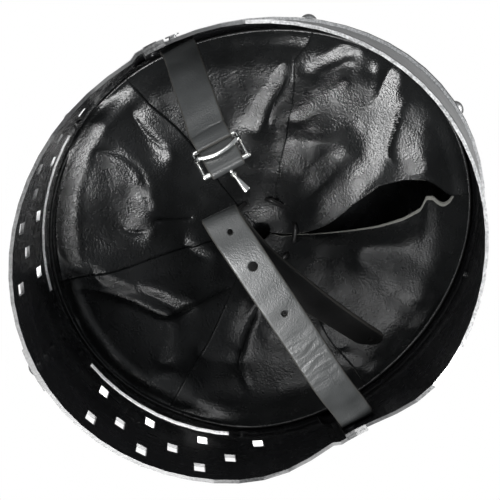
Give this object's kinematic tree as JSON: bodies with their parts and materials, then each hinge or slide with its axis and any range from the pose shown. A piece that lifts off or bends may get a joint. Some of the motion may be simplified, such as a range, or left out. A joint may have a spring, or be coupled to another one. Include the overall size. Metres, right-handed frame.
{
  "type": "flat-top helm",
  "caption": "Flat-topped steel helm of riveted plates with eye slits, breaths, a leather liner laced inside and a two-part chin strap with a buckle.",
  "frame": {"origin": "centre of the flat crown's outer face, on the axis where the side seams lie, with the helm resting on its crown", "axes": "+Z from the crown to the rim, along the way a head goes in reversed; the face looks to -Y; the wearer's left is -X"},
  "size_m": [0.2492, 0.2755, 0.29],
  "materials": {
    "plate_steel": "brushed steel outside, glossy black paint inside",
    "rivet_steel": "satin",
    "liner_leather": "black pebbled leather, semi gloss",
    "strap_leather": "black bridle leather, worn, satin",
    "lace": "black thong",
    "plated_wire": "polished nickel plate"
  },
  "bodies": {
    "helm": {"crown_plate": "plate_steel", "upper_front_plate": "plate_steel", "upper_back_plate": "plate_steel", "lower_front_plate": "plate_steel", "lower_back_plate": "plate_steel", "brow_bar": "plate_steel", "face_bar": "plate_steel", "cross_arm_left": "plate_steel", "cross_arm_right": "plate_steel", "crown_rivets": "rivet_steel", "seam_rivets": "rivet_steel", "side_rivets": "rivet_steel", "cross_rivets": "rivet_steel", "liner_rivets": "rivet_steel", "liner_washers": "rivet_steel", "liner_band": "liner_leather", "lappet_1": "liner_leather", "lappet_2": "liner_leather", "lappet_3": "liner_leather", "lappet_4": "liner_leather", "lappet_5": "liner_leather", "lappet_6": "liner_leather", "liner_lace": "lace", "buckle_strap_tab": "strap_leather", "hole_strap_tab": "strap_leather", "strap_rivets": "rivet_steel", "strap_washers": "rivet_steel"},
    "hole_strap_half": {"hole_strap": "strap_leather"},
    "buckle_strap_half": {"buckle_strap": "strap_leather", "buckle_loop": "strap_leather", "buckle_frame": "plated_wire"},
    "prong": {"buckle_prong": "plated_wire"}
  },
  "joints": [
    {"name": "hole_strap_lift", "type": "hinge", "parent": "helm", "child": "hole_strap_half", "pos_m": [0.10941, 0.0064, 0.21784], "axis": [0, 1, 0], "range_deg": [0, 58]},
    {"name": "buckle_strap_lift", "type": "hinge", "parent": "helm", "child": "buckle_strap_half", "pos_m": [-0.10987, 0.0144, 0.21682], "axis": [0, 1, 0], "range_deg": [-44, 0]},
    {"name": "prong_swing", "type": "hinge", "parent": "buckle_strap_half", "child": "prong", "pos_m": [-0.0437, 0.0066, 0.262], "axis": [0, 1, 0], "range_deg": [-95, 0]}
  ]
}
